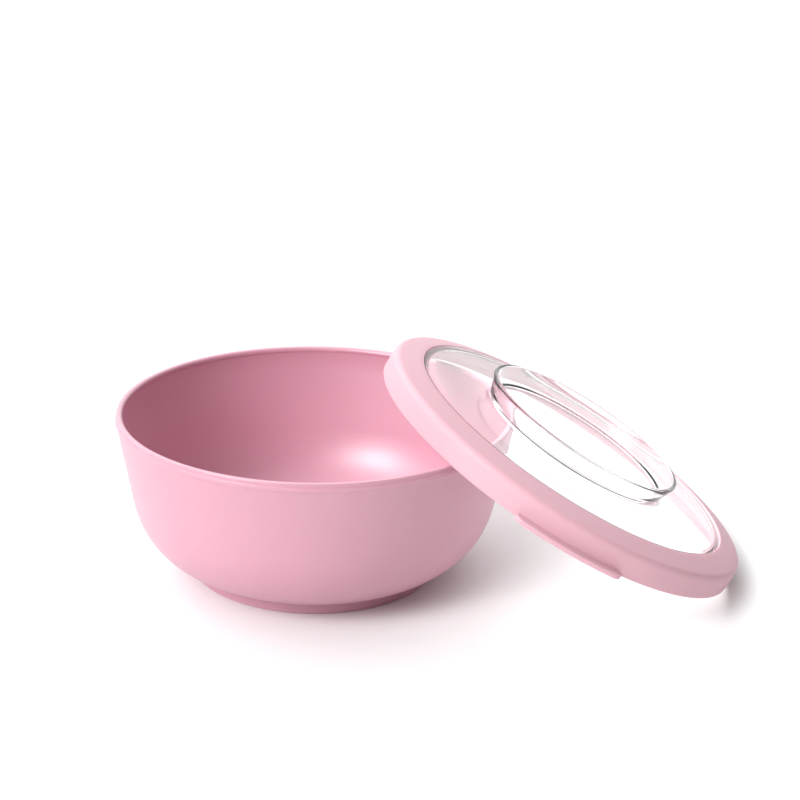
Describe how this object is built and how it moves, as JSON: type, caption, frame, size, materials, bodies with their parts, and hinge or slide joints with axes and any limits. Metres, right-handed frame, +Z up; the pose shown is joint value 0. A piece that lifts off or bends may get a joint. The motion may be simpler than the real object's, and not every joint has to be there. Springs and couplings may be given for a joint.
{
  "type": "lidded bowl",
  "caption": "Round plastic bowl on a foot ring, with a soft-edged clear snap lid that has a raised collar and a pull tab, leaned against the rim.",
  "frame": {"origin": "on the surface the set stands on, under the middle of its bounding box", "axes": "+X from the bowl towards the lid's lower end, which is the longest extent; +Y away from the pull tab; +Z up, the shortest extent"},
  "size_m": [0.2388, 0.1596, 0.0842],
  "materials": {
    "bowl_plastic": "satin moulded pink plastic",
    "ring_elastomer": "soft matt pink elastomer",
    "clear_plastic": "clear polished plastic"
  },
  "bodies": {
    "bowl": {"bowl": "bowl_plastic"},
    "lid": {"lid_ring": "ring_elastomer", "lid_window": "clear_plastic"}
  },
  "joints": [
    {"name": "lid_lift", "type": "slide", "parent": "bowl", "child": "lid", "axis": [0, 0, 1], "range_m": [0, 0.1]}
  ]
}
